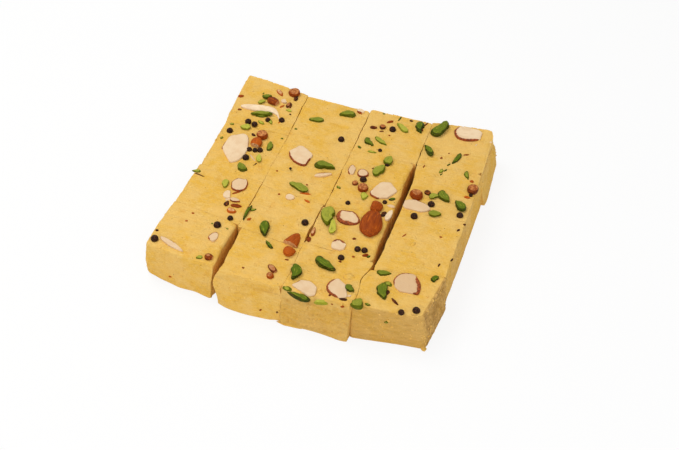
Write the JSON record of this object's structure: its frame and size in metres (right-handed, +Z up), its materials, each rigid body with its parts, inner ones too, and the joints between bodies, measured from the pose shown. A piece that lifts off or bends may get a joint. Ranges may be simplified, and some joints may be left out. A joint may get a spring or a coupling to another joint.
{
  "type": "cut slab of soan papdi",
  "caption": "Low square slab of flaky sweet, hand cut into loose blocks and topped with almonds, pistachios and black seeds; each block lifts off.",
  "frame": {"origin": "middle of the slab's foot, on the surface that it lies on", "axes": "+X to the right along the front, +Y to the back, +Z up"},
  "size_m": [0.1739, 0.1734, 0.0308],
  "materials": {
    "sweet": "matte",
    "nut": "satin",
    "pistachio": "satin",
    "seed": "satin"
  },
  "bodies": {
    "portion_r1c1": {"piece_r1c1": "sweet", "nuts_r1c1": "nut", "pistachios_r1c1": "pistachio", "seeds_r1c1": "seed"},
    "portion_r1c2": {"piece_r1c2": "sweet", "nuts_r1c2": "nut", "pistachios_r1c2": "pistachio", "seeds_r1c2": "seed"},
    "portion_r1c3": {"piece_r1c3": "sweet", "nuts_r1c3": "nut", "pistachios_r1c3": "pistachio", "seeds_r1c3": "seed"},
    "portion_r1c4": {"piece_r1c4": "sweet", "nuts_r1c4": "nut", "pistachios_r1c4": "pistachio"},
    "portion_r2c1": {"piece_r2c1": "sweet", "nuts_r2c1": "nut", "pistachios_r2c1": "pistachio", "seeds_r2c1": "seed"},
    "portion_r2c2": {"piece_r2c2": "sweet", "nuts_r2c2": "nut", "pistachios_r2c2": "pistachio", "seeds_r2c2": "seed"},
    "portion_r2c3": {"piece_r2c3": "sweet", "nuts_r2c3": "nut", "pistachios_r2c3": "pistachio", "seeds_r2c3": "seed"},
    "portion_r2c4": {"piece_r2c4": "sweet", "nuts_r2c4": "nut", "pistachios_r2c4": "pistachio", "seeds_r2c4": "seed"},
    "portion_r3c1": {"piece_r3c1": "sweet", "nuts_r3c1": "nut", "pistachios_r3c1": "pistachio", "seeds_r3c1": "seed"},
    "portion_r3c2": {"piece_r3c2": "sweet", "nuts_r3c2": "nut", "pistachios_r3c2": "pistachio", "seeds_r3c2": "seed"},
    "portion_r3c3": {"piece_r3c3": "sweet", "nuts_r3c3": "nut", "pistachios_r3c3": "pistachio", "seeds_r3c3": "seed"},
    "portion_r3c4": {"piece_r3c4": "sweet", "seeds_r3c4": "seed"},
    "portion_r4c1": {"piece_r4c1": "sweet", "nuts_r4c1": "nut", "pistachios_r4c1": "pistachio", "seeds_r4c1": "seed"},
    "portion_r4c2": {"piece_r4c2": "sweet", "nuts_r4c2": "nut", "pistachios_r4c2": "pistachio"},
    "portion_r4c3": {"piece_r4c3": "sweet", "nuts_r4c3": "nut", "pistachios_r4c3": "pistachio", "seeds_r4c3": "seed"},
    "portion_r4c4": {"piece_r4c4": "sweet", "nuts_r4c4": "nut", "pistachios_r4c4": "pistachio", "seeds_r4c4": "seed"}
  },
  "joints": [
    {"name": "lift_r1c1", "type": "slide", "parent": "portion_r2c2", "child": "portion_r1c1", "axis": [0, 0, 1], "range_m": [0, 0.04]},
    {"name": "lift_r1c2", "type": "slide", "parent": "portion_r2c2", "child": "portion_r1c2", "axis": [0, 0, 1], "range_m": [0, 0.04]},
    {"name": "lift_r1c3", "type": "slide", "parent": "portion_r2c2", "child": "portion_r1c3", "axis": [0, 0, 1], "range_m": [0, 0.04]},
    {"name": "lift_r1c4", "type": "slide", "parent": "portion_r2c2", "child": "portion_r1c4", "axis": [0, 0, 1], "range_m": [0, 0.04]},
    {"name": "lift_r2c1", "type": "slide", "parent": "portion_r2c2", "child": "portion_r2c1", "axis": [0, 0, 1], "range_m": [0, 0.04]},
    {"name": "lift_r2c3", "type": "slide", "parent": "portion_r2c2", "child": "portion_r2c3", "axis": [0, 0, 1], "range_m": [0, 0.04]},
    {"name": "lift_r2c4", "type": "slide", "parent": "portion_r2c2", "child": "portion_r2c4", "axis": [0, 0, 1], "range_m": [0, 0.04]},
    {"name": "lift_r3c1", "type": "slide", "parent": "portion_r2c2", "child": "portion_r3c1", "axis": [0, 0, 1], "range_m": [0, 0.04]},
    {"name": "lift_r3c2", "type": "slide", "parent": "portion_r2c2", "child": "portion_r3c2", "axis": [0, 0, 1], "range_m": [0, 0.04]},
    {"name": "lift_r3c3", "type": "slide", "parent": "portion_r2c2", "child": "portion_r3c3", "axis": [0, 0, 1], "range_m": [0, 0.04]},
    {"name": "lift_r3c4", "type": "slide", "parent": "portion_r2c2", "child": "portion_r3c4", "axis": [0, 0, 1], "range_m": [0, 0.04]},
    {"name": "lift_r4c1", "type": "slide", "parent": "portion_r2c2", "child": "portion_r4c1", "axis": [0, 0, 1], "range_m": [0, 0.04]},
    {"name": "lift_r4c2", "type": "slide", "parent": "portion_r2c2", "child": "portion_r4c2", "axis": [0, 0, 1], "range_m": [0, 0.04]},
    {"name": "lift_r4c3", "type": "slide", "parent": "portion_r2c2", "child": "portion_r4c3", "axis": [0, 0, 1], "range_m": [0, 0.04]},
    {"name": "lift_r4c4", "type": "slide", "parent": "portion_r2c2", "child": "portion_r4c4", "axis": [0, 0, 1], "range_m": [0, 0.04]}
  ]
}
